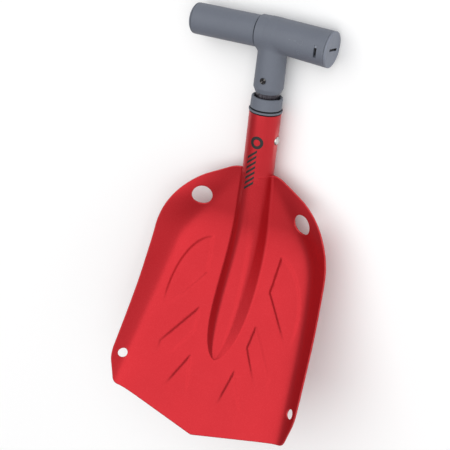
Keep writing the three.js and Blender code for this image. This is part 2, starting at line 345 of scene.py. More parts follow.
class Finish:
    """A procedural material: a shader whose colour, roughness and relief are built up step by step."""

    def __init__(self, name, colour, metallic=0.0, roughness=0.5, **sockets):
        self.material = bpy.data.materials.new(name)
        self.material.use_nodes = True
        self.tree = self.material.node_tree
        self.shader = self.tree.nodes["Principled BSDF"]
        self.shader.inputs["Metallic"].default_value = metallic
        for socket, value in sockets.items():
            self.shader.inputs[socket.replace("_", " ")].default_value = value
        self.place = self.tree.nodes.new("ShaderNodeTexCoord").outputs["Object"]
        self.colour = self.tree.nodes.new("ShaderNodeRGB").outputs[0]
        self.colour.default_value = colour
        self.roughness = self.value(roughness)
        self.relief = None

    def value(self, number):
        node = self.tree.nodes.new("ShaderNodeValue")
        node.outputs[0].default_value = number
        return node.outputs[0]

    def stretched(self, x, y, z):
        node = self.tree.nodes.new("ShaderNodeMapping")
        node.inputs["Scale"].default_value = (x, y, z)
        self.tree.links.new(self.place, node.inputs["Vector"])
        return node.outputs["Vector"]

    def noise(self, size, detail=3.0, stretch=None):
        """Noise from 0 to 1 whose grains are about size millimetres across."""
        node = self.tree.nodes.new("ShaderNodeTexNoise")
        node.inputs["Scale"].default_value = 1 / (size * MM)
        node.inputs["Detail"].default_value = detail
        self.tree.links.new(self.stretched(*stretch) if stretch else self.place, node.inputs["Vector"])
        return node.outputs["Fac"]

    def ranged(self, source, low, high, to_low, to_high):
        return map_range(self.tree, source, low, high, to_low, to_high)

    def maths(self, operation, first, second):
        node = self.tree.nodes.new("ShaderNodeMath")
        node.operation = operation
        for socket, source in zip(node.inputs, (first, second)):
            if isinstance(source, (int, float)):
                socket.default_value = source
            else:
                self.tree.links.new(source, socket)
        return node.outputs[0]

    def tint(self, factor, colour):
        """Mixes a colour in where the factor is high."""
        node = self.tree.nodes.new("ShaderNodeMix")
        node.data_type = "RGBA"
        self.tree.links.new(factor, node.inputs["Factor"])
        self.tree.links.new(self.colour, node.inputs[6])
        node.inputs[7].default_value = colour
        self.colour = node.outputs[2]

    def mottle(self, size, detail, low, high, amount, colour):
        """Mixes a colour in, by up to the amount, where noise of a grain size passes from low to high."""
        self.tint(self.ranged(self.noise(size, detail), low, high, 0, amount), colour)

    def roughen(self, factor, low, high):
        """Adds to the roughness: low where the factor is 0 and high where it is 1."""
        self.roughness = self.maths("ADD", self.roughness, self.ranged(factor, 0, 1, low, high))

    def bump(self, height, depth, strength=1.0):
        """Relief from a height of 0 to 1, with its depth in millimetres."""
        node = self.tree.nodes.new("ShaderNodeBump")
        node.inputs["Strength"].default_value = strength
        node.inputs["Distance"].default_value = depth * MM
        self.tree.links.new(height, node.inputs["Height"])
        if self.relief is not None:
            self.tree.links.new(self.relief, node.inputs["Normal"])
        self.relief = node.outputs["Normal"]

    def attribute(self, name):
        node = self.tree.nodes.new("ShaderNodeAttribute")
        node.attribute_name = name
        return node.outputs["Fac"]

    def edges(self, low=0.51, high=0.6):
        """1 at outer edges and 0 on plain faces."""
        node = self.tree.nodes.new("ShaderNodeNewGeometry")
        return self.ranged(node.outputs["Pointiness"], low, high, 0, 1)

    def done(self):
        self.tree.links.new(self.colour, self.shader.inputs["Base Color"])
        self.tree.links.new(self.roughness, self.shader.inputs["Roughness"])
        if self.relief is not None:
            self.tree.links.new(self.relief, self.shader.inputs["Normal"])
        return self.material


RED = srgb(184, 30, 39)
DARK_RED = srgb(136, 18, 26)


def anodised_sheet():
    """Bead-blasted, satin red anodising. The blade's edge is worn to a lighter pink."""
    finish = Finish("anodised_sheet", RED, metallic=0.7, roughness=0.4)
    finish.mottle(70, 2, 0.35, 0.7, 0.10, DARK_RED)
    finish.mottle(0.8, 2, 0.45, 0.75, 0.10, srgb(240, 90, 96))
    finish.roughen(finish.noise(25, 4), -0.04, 0.06)
    patches = finish.ranged(finish.noise(6, 5), 0.35, 0.6, 0.25, 1)
    worn = finish.maths("MULTIPLY", finish.attribute("wear"), patches)
    finish.tint(worn, srgb(226, 120, 118))
    finish.bump(finish.noise(0.7, 2), 0.02, 0.35)
    finish.bump(finish.noise(9, 3), 0.05, 0.3)
    return finish.done()


def anodised_tube():
    """Drawn tube: a smoother red with fine lines along its length."""
    finish = Finish("anodised_tube", RED, metallic=0.6, roughness=0.38)
    lines = finish.noise(0.5, 3, stretch=(1, 0.02, 1))
    finish.tint(finish.ranged(lines, 0.4, 0.75, 0, 0.10), DARK_RED)
    finish.mottle(30, 3, 0.4, 0.7, 0.08, srgb(236, 70, 78))
    finish.tint(finish.edges(0.53, 0.62), srgb(226, 130, 128))
    finish.roughen(finish.noise(12, 4), -0.05, 0.06)
    finish.bump(lines, 0.01, 0.3)
    finish.bump(finish.noise(0.5, 2), 0.01, 0.25)
    return finish.done()


def anodised_dark():
    """The dark inner shaft, polished by sliding."""
    finish = Finish("anodised_dark", srgb(52, 48, 55), metallic=0.5, roughness=0.35)
    rubbed = finish.noise(1.2, 4, stretch=(1, 0.03, 1))
    finish.tint(finish.ranged(rubbed, 0.5, 0.75, 0, 0.35), srgb(128, 126, 134))
    finish.roughen(rubbed, -0.08, 0.1)
    finish.bump(rubbed, 0.01, 0.3)
    return finish.done()


def moulded_grey(name="moulded_grey", colour=srgb(99, 104, 115)):
    """Glass-filled nylon with a fine spark-eroded grain, rubbed lighter at its edges."""
    finish = Finish(name, colour, roughness=0.56, Specular_IOR_Level=0.45)
    finish.mottle(28, 4, 0.35, 0.7, 0.18, srgb(86, 91, 102))
    finish.mottle(0.6, 2, 0.5, 0.8, 0.22, srgb(126, 131, 142))
    patches = finish.ranged(finish.noise(3, 4), 0.35, 0.6, 0.1, 0.5)
    worn = finish.maths("MULTIPLY", finish.edges(0.52, 0.64), patches)
    finish.tint(worn, srgb(150, 154, 163))
    finish.roughen(finish.noise(7, 5), -0.06, 0.07)
    finish.bump(finish.noise(0.55, 3), 0.035, 0.45)
    finish.bump(finish.noise(14, 3), 0.08, 0.25)
    return finish.done()


def moulded_black():
    finish = Finish("moulded_black", srgb(30, 31, 34), roughness=0.5)
    finish.mottle(0.7, 3, 0.45, 0.8, 0.3, srgb(58, 59, 63))
    finish.roughen(finish.noise(6, 4), -0.06, 0.08)
    finish.bump(finish.noise(0.5, 3), 0.03, 0.4)
    return finish.done()


def rubber():
    finish = Finish("rubber", srgb(24, 24, 26), roughness=0.78, Specular_IOR_Level=0.3)
    finish.mottle(1.5, 4, 0.4, 0.75, 0.35, srgb(50, 50, 53))
    finish.roughen(finish.noise(3, 4), -0.05, 0.1)
    finish.bump(finish.noise(0.4, 3), 0.03, 0.5)
    return finish.done()


def bright_steel():
    finish = Finish("bright_steel", srgb(205, 205, 202), metallic=1, roughness=0.24)
    finish.mottle(2.5, 4, 0.4, 0.75, 0.35, srgb(150, 148, 144))
    finish.roughen(finish.noise(0.8, 4), -0.06, 0.12)
    finish.bump(finish.noise(0.3, 3), 0.008, 0.4)
    return finish.done()


def spring_steel():
    finish = Finish("spring_steel", srgb(168, 170, 174), metallic=1, roughness=0.34)
    grain = finish.noise(0.5, 3, stretch=(1, 0.05, 1))
    finish.tint(finish.ranged(grain, 0.4, 0.7, 0, 0.4), srgb(120, 121, 126))
    finish.roughen(grain, -0.06, 0.1)
    finish.bump(grain, 0.01, 0.4)
    return finish.done()


def black_rivet():
    finish = Finish("black_rivet", srgb(34, 33, 35), metallic=0.85, roughness=0.3)
    finish.tint(finish.edges(0.52, 0.62), srgb(110, 108, 106))
    finish.mottle(0.8, 3, 0.45, 0.75, 0.4, srgb(66, 64, 64))
    finish.roughen(finish.noise(1.2, 4), -0.06, 0.14)
    finish.bump(finish.noise(0.35, 3), 0.015, 0.4)
    return finish.done()


def weld_metal():
    """Weld beads anodised with the tube: a duller, browner red with a scaly skin."""
    finish = Finish("weld_metal", srgb(176, 30, 38), metallic=0.5, roughness=0.5)
    finish.mottle(2, 4, 0.4, 0.7, 0.4, srgb(120, 26, 30))
    finish.tint(finish.edges(0.53, 0.65), srgb(220, 110, 108))
    finish.roughen(finish.noise(1, 4), -0.1, 0.15)
    finish.bump(finish.noise(0.6, 4), 0.06, 0.5)
    return finish.done()


def printing_ink():
    finish = Finish("printing_ink", srgb(16, 14, 15), roughness=0.5)
    finish.mottle(0.9, 4, 0.5, 0.85, 0.3, srgb(56, 24, 27))
    finish.roughen(finish.noise(1.5, 4), -0.05, 0.12)
    finish.bump(finish.noise(0.5, 3), 0.01, 0.3)
    return finish.done()


SHEET_RED = anodised_sheet()
TUBE_RED = anodised_tube()
DARK_SHAFT = anodised_dark()
GREY = moulded_grey()
# A lighter copy of the same grey moulding for the coin cap and its lug: painted light, standing in for the
# bright reflection on the cap's end.
GREY_PAINTED_LIT = moulded_grey("moulded_grey_painted_lit", srgb(118, 123, 135))
BLACK = moulded_black()
RUBBER = rubber()
STEEL = bright_steel()
SPRING = spring_steel()
RIVET = black_rivet()
WELD = weld_metal()
INK = printing_ink()


# ---- Blade: its scoop side is a height above the plane of the shaft's axis ----

def smoothstep(value, low, high):
    t = np.clip((value - low) / (high - low), 0, 1)
    return t * t * (3 - 2 * t)


def floor_height(y):
    """The floor follows the shaft, then bends forwards to the lip."""
    length = BEND_Y - TIP_Y
    t = np.maximum(BEND_Y - y, 0) / length
    return TIP_Z * (3 * t**2 - 2 * t**3) + LIP_SLOPE * length * (t**3 - t**2)


def wing_height(x, y):
    """The wings turn up along a fold that runs outwards towards the lip, and are flatter at the heel."""
    heel = smoothstep(y, -171, -60)
    slope = 1.3 + (0.15 - 1.3) * heel
    below = -130 - y
    fold = 65.5 + 0.5 * below - 0.38 * (np.hypot(below, 20) - 20)
    past = np.abs(x) - fold
    return slope * (past + np.hypot(past, 7)) / 2


RIDGE_FOOT = math.sqrt((TUBE_R + FOOT_R) ** 2 - FOOT_R**2)


def ridge_section(y):
    """The ridge's section at a height: its half width, the half width of its flat crest, the radii of the
    crest's shoulders and of the fillets at its foot, and the slope of its flanks. At the top it is the tube's
    own section, and it ends in a blunt bow."""
    s = np.clip((BLADE_TOP - y) / (BLADE_TOP - RIDGE_END), 0, 0.9999)
    half_width = (RIDGE_FOOT + 7.2 * s) * (1 - s**6) ** 0.62
    height = TUBE_R * (1 - s**3) ** 0.8
    spread = smoothstep(s, 0, 0.75)
    crest = 0.27 * half_width * spread
    rest = half_width - crest
    shoulder = rest * (TUBE_R / RIDGE_FOOT * (1 - spread) + 0.55 * spread)
    fillet = rest * (FOOT_R / RIDGE_FOOT * (1 - spread) + 0.24 * spread)
    rise = height - shoulder - fillet
    slope = np.arctan2(rise, rest) + np.arcsin(np.minimum((shoulder + fillet) / np.hypot(rest, rise), 1))
    return half_width, height, crest, shoulder, fillet, slope


def ridge_height(x, y):
    """A flat crest, round shoulders, straight flanks and fillets. The top edge dips just inside the wall of
    the tube, which comes out from under it without a step."""
    half_width, height, crest, shoulder, fillet, slope = ridge_section(y)
    distance = np.abs(x)
    over = np.clip(distance - crest, 0, None)
    round_top = height - shoulder + np.sqrt(np.maximum(shoulder**2 - over**2, 0))
    shoulder_end = shoulder * np.sin(slope)
    flank = height - shoulder + shoulder * np.cos(slope) - (over - shoulder_end) * np.tan(slope)
    inwards = np.clip(half_width - distance, 0, None)
    foot = fillet - np.sqrt(np.maximum(fillet**2 - inwards**2, 0))
    shape = np.where(over < shoulder_end, round_top, np.where(inwards > fillet * np.sin(slope), flank, foot))
    dip = 0.25 * smoothstep(y, -68, -61) * (distance < TUBE_R - 0.5)
    return np.where((distance < half_width) & (y > RIDGE_END), shape, 0) - dip


def ridge_lines():
    """Grid points that follow the ridge's crest, shoulders and foot down to its bow."""
    along = (1 - (1 - np.linspace(0, 1, 190)) ** 1.5)[:-1]
    y = BLADE_TOP + (RIDGE_END - BLADE_TOP) * along
    half_width, _, crest, shoulder, fillet, slope = ridge_section(y)
    part = np.linspace(0, 1, 6)[:, None]
    lines = [crest + shoulder * np.sin(slope * part), half_width - fillet * np.sin(slope * part),
             half_width + 0.7 + 0 * part[:1], crest * np.linspace(0, 0.8, 4)[:, None]]
    across = np.vstack(lines)
    tall = np.broadcast_to(y, across.shape)
    right = np.stack([across.ravel(), tall.ravel()], axis=1)
    bow = np.stack([np.linspace(-2, 2, 9), np.full(9, RIDGE_END - 0.5)], axis=1)
    return np.vstack([right, right * (-1, 1), bow])


def broken_line(*corners):
    heights = [y for _, y in reversed(corners)]
    widths = [x for x, _ in reversed(corners)]
    return lambda y: np.interp(y, heights, widths)


def elliptic(centre_x, centre_y, half_x, half_y):
    return lambda y: centre_x + half_x * np.sqrt(np.maximum(1 - ((y - centre_y) / half_y) ** 2, 0))


# Pressed panels: the place of the top edge, the inner and outer edges as a distance from the middle for each
# place along the blade, how high the panel stands and where it fades out.
PANELS = [
    (-137.5, broken_line((37, -137.5), (34.2, -171.9), (62.6, -209.8), (70, -220)),
     elliptic(30, -200, 40, 63), 1.2, (-190, -214)),
    (-203.5, broken_line((31, -203.5), (28.8, -223), (45.1, -248), (50, -255)),
     broken_line((31, -203.5), (51.6, -230.2), (60, -241)), 1.2, (-228, -255)),
    (-244.3, broken_line((24.3, -244.3), (18.3, -270), (16, -280)),
     broken_line((24.3, -244.3), (38.2, -270.3), (43, -279)), 1.2, (-262, -279)),
]
STEP_WIDTH = 3.4
TOP_STEP = 1.5


def inside_edge(distance, edge, y, side):
    """Rises from 0 to 1 across an edge, measured square to it."""
    step = 0.5
    lean = (edge(y + step) - edge(y - step)) / (2 * step)
    square = side * (distance - edge(y)) / np.hypot(1, lean)
    return smoothstep(square, -STEP_WIDTH / 2, STEP_WIDTH / 2)


def panel_height(x, y):
    distance = np.abs(x)
    total = np.zeros_like(x)
    for top, inner, outer, height, (fade_start, fade_end) in PANELS:
        shape = inside_edge(distance, inner, y, 1) * inside_edge(distance, outer, y, -1)
        shape = shape * smoothstep(y, fade_end, fade_start) * smoothstep(y, top + TOP_STEP, top - TOP_STEP)
        total = total + height * shape
    return total


def stop_line(x, y):
    """A faint pressed step below the tip of the ridge."""
    off_middle = np.abs(x + 4)
    bow = -259.5 + 0.006 * off_middle**2
    step = smoothstep(bow - y, -1.5, 1.5) * smoothstep(24 - off_middle, 0, 12)
    return 0.2 * step * smoothstep(y, -285, -262)


def scoop_side(x, y):
    return floor_height(y) + wing_height(x, y) + ridge_height(x, y) + panel_height(x, y) - stop_line(x, y)


def scoop_normal(x, y):
    step = 0.05
    slope_x = (scoop_side(x + step, y) - scoop_side(x - step, y)) / (2 * step)
    slope_y = (scoop_side(x, y + step) - scoop_side(x, y - step)) / (2 * step)
    normal = np.stack([-slope_x, -slope_y, np.ones_like(slope_x)], axis=-1)
    return normal / np.linalg.norm(normal, axis=-1, keepdims=True)


def curve(start, control, end, steps=14):
    t = np.linspace(0, 1, steps + 1)[1:, None]
    start, control, end = map(np.array, (start, control, end))
    return ((1 - t) ** 2 * start + 2 * t * (1 - t) * control + t**2 * end).tolist()


def half_outline():
    """The right half of the blade's outline, from the middle of its top edge to the tip."""
    points = [[0, BLADE_TOP], [17, BLADE_TOP]]
    points += curve((17, BLADE_TOP), (23.5, BLADE_TOP), (31, -64.2))
    points += curve((50, -74.1), (85.6, -95.5), (90.2, -133), 30)
    points += curve((99.4, -250), (100.3, -260), (98, -268))
    points += curve((94.3, -282.5), (92.9, -288), (88.5, -289))
    points += curve((3, -308.6), (1, TIP_Y), (0, TIP_Y), 4)
    return points


def respaced(points, gap):
    """A closed line with its points about gap apart."""
    line = np.array(points + [points[0]], float)
    lengths = np.concatenate([[0], np.cumsum(np.hypot(*np.diff(line, axis=0).T))])
    along = np.linspace(0, lengths[-1], int(lengths[-1] / gap) + 1)[:-1]
    return np.stack([np.interp(along, lengths, line[:, k]) for k in (0, 1)], axis=1)


def outward(loop):
    """Unit directions square to a closed loop. They point out of a loop that runs clockwise."""
    along = np.roll(loop, -1, axis=0) - np.roll(loop, 1, axis=0)
    along /= np.linalg.norm(along, axis=1, keepdims=True)
    return np.stack([-along[:, 1], along[:, 0]], axis=1)


HOLES = [(53.1, -98.1, 10.0), (91.4, -259.0, 4.5)]


def hole_loops():
    """The holes are round in the plane of the sheet, which leans. They run anticlockwise, so that outward()
    points into the hole, away from the sheet."""
    turn = np.linspace(0, 2 * math.pi, 73)[:-1, None]
    loops = []
    for side in (-1, 1):
        for x, y, radius in HOLES:
            normal = scoop_normal(np.array(side * x), np.array(y))
            along = np.cross(normal, (1, 0, 0))
            along /= np.linalg.norm(along)
            ring = radius * (np.cos(turn) * np.cross(along, normal) + np.sin(turn) * along)
            loops.append(ring[:, :2] + (side * x, y))
    return loops


EDGE_R = SHEET / 2
OUTLINE_GAP = 1.3
WIDE_GRID = 1.8
FINE_GRID = 0.9
RIM_WEAR = 0.15


def grid_points(across, up, gap):
    """Points on a square grid."""
    return np.stack(np.meshgrid(np.arange(*across, gap), np.arange(*up, gap)), axis=-1).reshape(-1, 2)


def below_ridge():
    """Grid points on the middle of the floor, below the ridge's bow."""
    return grid_points((-25, 25.1), (-308, RIDGE_END - 1), WIDE_GRID)


def panel_steps(grid):
    """The points of a grid that lie on the steps of the pressed panels."""
    x, y = grid.T
    reach = 0.6
    rise = np.abs(panel_height(x + reach, y) - panel_height(x - reach, y))
    rise += np.abs(panel_height(x, y + reach) - panel_height(x, y - reach))
    return grid[rise > 0.03]


def sheet_points(loops):
    """The points of the sheet between its loops."""
    steps = panel_steps(grid_points((-99, 99.1), (-300, -58.5), FINE_GRID))
    spread = np.vstack([grid_points((-99, 99.1), (-310, -58.5), WIDE_GRID), steps])
    spread = spread[np.abs(spread[:, 0]) > ridge_section(spread[:, 1])[0] + 1.2]
    inner = np.vstack([spread, below_ridge(), ridge_lines()])
    clear = np.ones(len(inner), bool)
    for loop in loops:
        for start in range(0, len(inner), 4000):
            gap = np.linalg.norm(inner[start:start + 4000, None] - loop[None], axis=2).min(axis=1)
            clear[start:start + 4000] &= gap > FINE_GRID
    return inner[clear & on_sheet(inner, loops)]


def on_sheet(points, loops):
    """Whether each point lies inside the outline and outside the holes."""
    inside = within(points, loops[0])
    for loop in loops[1:]:
        inside &= ~within(points, loop)
    return inside


def flat_sheet(loops):
    """The sheet laid flat: its points, its triangles, which run anticlockwise, and each loop's points."""
    borders, start = [], 0
    for loop in loops:
        borders.append(list(range(start, start + len(loop))))
        start += len(loop)
    edges = [edge for border in borders for edge in zip(border, border[1:] + border[:1])]
    points = np.vstack(loops + [sheet_points(loops)])
    corners, _, faces, sources, _, _ = delaunay_2d_cdt([Vector(p) for p in points], edges, [], 0, 1e-4)
    flat = np.array([tuple(c) for c in corners])
    place_of = {source[0]: i for i, source in enumerate(sources) if source}
    triangles = np.array(faces)
    triangles = triangles[on_sheet(flat[triangles].mean(axis=1), loops)]
    a, b, c = flat[triangles[0]]
    if (b[0] - a[0]) * (c[1] - a[1]) - (b[1] - a[1]) * (c[0] - a[0]) < 0:
        triangles = triangles[:, ::-1]
    return flat, triangles.tolist(), [[place_of[i] for i in border] for border in borders]


def blade():
    """The two sides of the sheet, joined by a rounded rim round its outline and round each hole."""
    right = half_outline()
    left = [[-x, y] for x, y in right[-2:0:-1]]
    loops = [respaced(right + left, OUTLINE_GAP)] + hole_loops()
    directions = [outward(loop) for loop in loops]
    loops = [loop - direction * EDGE_R for loop, direction in zip(loops, directions)]
    flat, triangles, borders = flat_sheet(loops)

    x, y = flat.T
    normal = scoop_normal(x, y)
    front = np.stack([x, y, scoop_side(x, y)], axis=1)
    points, normals = [front, front - SHEET * normal], [normal, -normal]
    count = len(flat)
    faces = triangles + [[i + count for i in face[::-1]] for face in triangles]

    total = 2 * count
    for ids, direction in zip(borders, directions):
        n = normal[ids]
        rise = -(n[:, 0] * direction[:, 0] + n[:, 1] * direction[:, 1]) / n[:, 2]
        out = np.column_stack([direction, rise])
        out /= np.linalg.norm(out, axis=1, keepdims=True)
        centre = front[ids] - n * EDGE_R
        rows = [ids]
        for angle in np.radians([62, 34, 11, -11, -34, -62]):
            facing = out * math.cos(angle) + n * math.sin(angle)
            flatter = out * math.cos(angle) ** 0.6 + n * math.copysign(abs(math.sin(angle)) ** 0.6, angle)
            points.append(centre + EDGE_R * flatter)
            normals.append(facing)
            rows.append(list(range(total, total + len(ids))))
            total += len(ids)
        rows.append([i + count for i in ids])
        for upper, lower in zip(rows, rows[1:]):
            for i in range(len(ids)):
                j = (i + 1) % len(ids)
                faces.append([upper[i], upper[j], lower[j], lower[i]])
    points, normals = np.vstack(points), np.vstack(normals)
    made = piece("blade_sheet", (points, faces), SHEET_RED, "blade_unit",
                 nodes=["blade"], normals=normals)
    wear = np.zeros(len(points))
    wear[2 * count:] = RIM_WEAR * (np.abs(points[2 * count:, 0]) > RIDGE_FOOT + 1)
    attribute = made.data.attributes.new("wear", "FLOAT", "POINT")
    attribute.data.foreach_set("value", wear)


def within(points, loop):
    """Whether each point lies inside a closed loop."""
    inside = np.zeros(len(points), bool)
    x, y = points[:, 0], points[:, 1]
    for (x1, y1), (x2, y2) in zip(loop, np.roll(loop, -1, axis=0)):
        if y1 == y2:
            continue
        crosses = ((y1 > y) != (y2 > y)) & (x < (x2 - x1) * (y - y1) / (y2 - y1) + x1)
        inside ^= crosses
    return inside


blade()


# ---- Outer tube and its mouth ----

def shaft_outer():
    """The tube runs under the ridge without a step in front, and is swaged below that."""
    taper_start, taper_end = -64.0, -84.0
    profile = [
        [TUBE_R, 0, 0.35], [TUBE_R, taper_start, 12], [SWAGE_R, taper_end, 12], [SWAGE_R, TUBE_END, 0.5],
        [SWAGE_BORE, TUBE_END, 0.3], [SWAGE_BORE, taper_end, 4], [TUBE_BORE, taper_start, 4],
        [TUBE_BORE, 0, 0.3],
    ]
    points, faces = turned(profile, closed=True, sides=160, steps=8)
    points[:, 2] += SWAGE_SHIFT * smoothstep(-points[:, 1], -taper_start, -taper_end)
    hole = moved(turned([[0, 10], [BUTTON_R + GAP, 10], [BUTTON_R + GAP, 20], [0, 20]], sides=64), ALONG_X)
    hole = moved(hole, shift_up(BUTTON_Y))
    piece("outer_tube", combined((points, faces), hole), TUBE_RED, "blade_unit",
          nodes=["shaft_outer"])


shaft_outer()


def slab(rows, surface, depth):
    """A thin closed sheet on a surface. The rows of places on it make a grid, and surface() turns a place and
    a height above it into a point."""
    grid = np.array(rows, float)
    high, wide = grid.shape[:2]
    points = [surface(u, v, lift) for lift in (depth, -depth) for u, v in grid.reshape(-1, 2)]
    count = high * wide
    faces = []
    for i in range(high - 1):
        for k in range(wide - 1):
            a = i * wide + k
            quad = (a, a + 1, a + 1 + wide, a + wide)
            faces += [quad, tuple(j + count for j in reversed(quad))]
    rim = list(range(wide)) + [i * wide + wide - 1 for i in range(1, high)]
    rim += [(high - 1) * wide + k for k in range(wide - 2, -1, -1)]
    rim += [i * wide for i in range(high - 2, 0, -1)]
    faces += [(a, b, b + count, a + count) for a, b in zip(rim, rim[1:] + rim[:1])]
    return merged(np.array(points), faces, 1e-4)


def bar(centre, length, width, lean):
    """Grid rows of a parallelogram whose long sides lean."""
    u, v = centre
    rows = []
    for t in np.linspace(-0.5, 0.5, 12):
        rows.append([(u + t * length, v + t * length * lean + w * width) for w in np.linspace(-0.5, 0.5, 4)])
    return rows


def half_ring(centre, inner, outer, side):
    turns = np.linspace(0, math.pi, 25) * side
    u, v = centre
    return [[(u + r * math.cos(a), v + r * math.sin(a)) for r in np.linspace(inner, outer, 4)] for a in turns]


PRINT_TURN = math.radians(-9)
PRINT_LIFT = 0.04


def on_shaft(u, v, lift):
    """A place on the front of the tube or, below it, of the ridge. u is measured round the tube."""
    angle = PRINT_TURN + u / TUBE_R
    x = TUBE_R * math.sin(angle)
    z = TUBE_R * math.cos(angle) if v > BLADE_TOP - 4 else float(scoop_side(np.array([x]), np.array([v]))[0])
    return x + lift * math.sin(angle), v, z + lift * math.cos(angle)


def tube_print():
    """A plain printed mark: a ring and a row of leaning bars."""
    middle = (4.0, -26.5)
    marks = [half_ring(middle, 3.2, 6.2, side) for side in (1, -1)]
    marks += [bar((0.6, -39 - 5.2 * k), 9.4, 2.6, 0.9) for k in range(7)]
    shapes = [slab(rows, on_shaft, PRINT_LIFT) for rows in marks]
    piece("tube_print", joined(*shapes), INK, "blade_unit")


tube_print()


def weld(name, side):
    """A bead laid as a row of overlapping puddles in the corner between the tube and the back of the heel."""
    rows, sides = 96, 20
    length, radius = 41.4, 1.7
    points = []
    for i in range(rows + 1):
        t = i / rows
        along = (t - 0.5) * length
        end = math.sqrt(max(1 - (2 * t - 1) ** 8, 0))
        puddle = abs(math.sin(math.pi * 13 * t)) ** 0.6
        size = radius * end * (0.84 + 0.16 * puddle) + 1e-3
        for k in range(sides):
            turn = 2 * math.pi * k / sides
            curl = 0.55 * math.cos(turn - side * 0.6)
            points.append((size * math.sin(turn), along - curl, size * math.cos(turn)))
    bead = merged(np.array(points), swept(points, sides), 1e-6)
    bead = moved(bead, Matrix.Translation((side * 15.7, -91, -4)))
    piece(name, bead, WELD, "blade_unit", nodes=[name.replace("bead", "weld")], sharp=60)


weld("bead_left", -1)
weld("bead_right", 1)


def keyed_bore(low, high):
    return prism(octagon(SHAFT_FLAT + GAP), low, high)


def button_way(low, high):
    """The slot that lets the upper lock button through, once it is pressed in."""
    half = BUTTON_R + GAP
    return boxed((0, low, -half), (TUBE_BORE, high, half))


def guide_bush():
    corners = [[0, -16], [13.2, -16, 0.4], [13.2, 1.3, 0.2], [15.8, 1.3, 0.35], [15.8, 3, 0.45], [0, 3]]
    bush = combined(turned(corners), keyed_bore(-17, 4), button_way(-17, 4))
    piece("mouth_bush", bush, GREY, "blade_unit", nodes=["guide_bush"])


def wiper_collar():
    corners = [[12, 4.3, 0.2], [14.8, 4.3, 0.35], [14.5, 14.2, 0.7], [13.7, 15.2, 0.5], [12.4, 15.2, 0.4],
               [12, 14.8, 0.2]]
    collar = combined(turned(corners, closed=True), button_way(4, 16))
    piece("mouth_collar", collar, GREY, "blade_unit", nodes=["wiper_collar"])


guide_bush()
wiper_collar()
piece("tube_gasket", ring(13.6, 15.2, 0.3, 1), RUBBER, "blade_unit",
      nodes=["end_gasket"])
piece("mouth_seal", ring(13.6, 15, 3.3, 4), RUBBER, "blade_unit", nodes=["seal_ring"])


# ---- Inner shaft and its locks ----

def rivet_hole():
    return moved(rod(2.5, -20, 20), shift_up(RIVET_Y) @ ALONG_Z)


def shaft_inner():
    outer = octagon(SHAFT_FLAT, 1.4)
    wall = prism(outer, SHAFT_END, SHAFT_TOP)
    tools = [prism(octagon(SHAFT_FLAT - SHAFT_WALL, 0.8), SHAFT_END - 1, SHAFT_TOP + 1)]
    for y in (BUTTON_Y, BUTTON_Y - TRAVEL):
        tools.append(moved(rod(BUTTON_R + GAP, 5, 15), shift_up(y) @ ALONG_X))
    piece("inner_shaft", combined(wall, *tools, rivet_hole()), DARK_SHAFT, "handle_unit",
          nodes=["shaft_inner"], sharp=25)


def shaft_end_plug():
    corners = [[0, SHAFT_END - 3.3], [10, SHAFT_END - 3.3, 0.6], [10.9, SHAFT_END - 2.4, 0.5],
               [10.9, SHAFT_END - GAP, 0.2], [8.5, SHAFT_END - GAP, 0.1], [8.5, SHAFT_END + 6, 0.6],
               [0, SHAFT_END + 6]]
    piece("inner_shaft_plug", turned(corners), BLACK, "handle_unit",
          nodes=["shaft_end_plug"])


def lock_button(name, node, y, pressed, body):
    """A domed pin with a collar that keeps it inside the shaft."""
    corners = [
        [0, BUTTON_BASE], [4.6, BUTTON_BASE, 0.25], [4.6, BUTTON_BASE + 1, 0.25],
        [BUTTON_R, BUTTON_BASE + 1, 0.15], [BUTTON_R, BUTTON_TOP - 1.5, 1.6],
        [2.4, BUTTON_TOP - 0.25, 2.5], [0, BUTTON_TOP],
    ]
    pin = moved(turned(corners, sides=72, steps=6), Matrix.Translation((-pressed, y, 0)) @ ALONG_X)
    piece(name, pin, STEEL, body, nodes=[node])


shaft_inner()
shaft_end_plug()
lock_button("snap_button_upper", "upper_lock_button", BUTTON_Y, 0, "upper_button")
lock_button("snap_button_lower", "lower_lock_button", BUTTON_Y - TRAVEL, LOWER_PRESS, "lower_button")


def lock_spring(name, node, y, pressed):
    """A strip bent into a U, with soft edges. Its legs run from the button and the far wall of the shaft."""
    strip, half = 0.6, 3.0
    far = -SHAFT_FLAT + SHAFT_WALL + GAP + strip / 2
    near = BUTTON_BASE - GAP - pressed - strip / 2
    middle, radius = (far + near) / 2, (near - far) / 2
    bend, foot = y + 34, y - 6
    turn = np.linspace(0, math.pi, 33)
    path = [(near, foot), (near, foot + 0.5)] + [(near, v) for v in np.linspace(foot + 4, bend - 2, 8)]
    path += [(middle + radius * math.cos(a), bend + radius * math.sin(a)) for a in turn]
    path += [(far, v) for v in np.linspace(bend - 2, foot + 4, 8)] + [(far, foot + 0.5), (far, foot)]
    path = np.array(path)
    along = np.gradient(path, axis=0)
    along /= np.linalg.norm(along, axis=1, keepdims=True)
    square = np.stack([-along[:, 1], along[:, 0]], axis=1)
    section = rounded([[-strip / 2, -half, 0.2], [strip / 2, -half, 0.2], [strip / 2, half, 0.2],
                       [-strip / 2, half, 0.2]], closed=True)
    points = [(p[0] + s[0] * d, p[1] + s[1] * d, w) for p, s in zip(path, square) for d, w in section]
    spring = merged(np.array(points), swept(points, len(section)))
    piece(name, spring, SPRING, "handle_unit", nodes=[node])


lock_spring("button_spring_upper", "upper_lock_spring", BUTTON_Y, 0)
lock_spring("button_spring_lower", "lower_lock_spring", BUTTON_Y - TRAVEL, LOWER_PRESS)


# ---- T handle: one moulding, drawn as a distance field so that its arms run into the neck ----

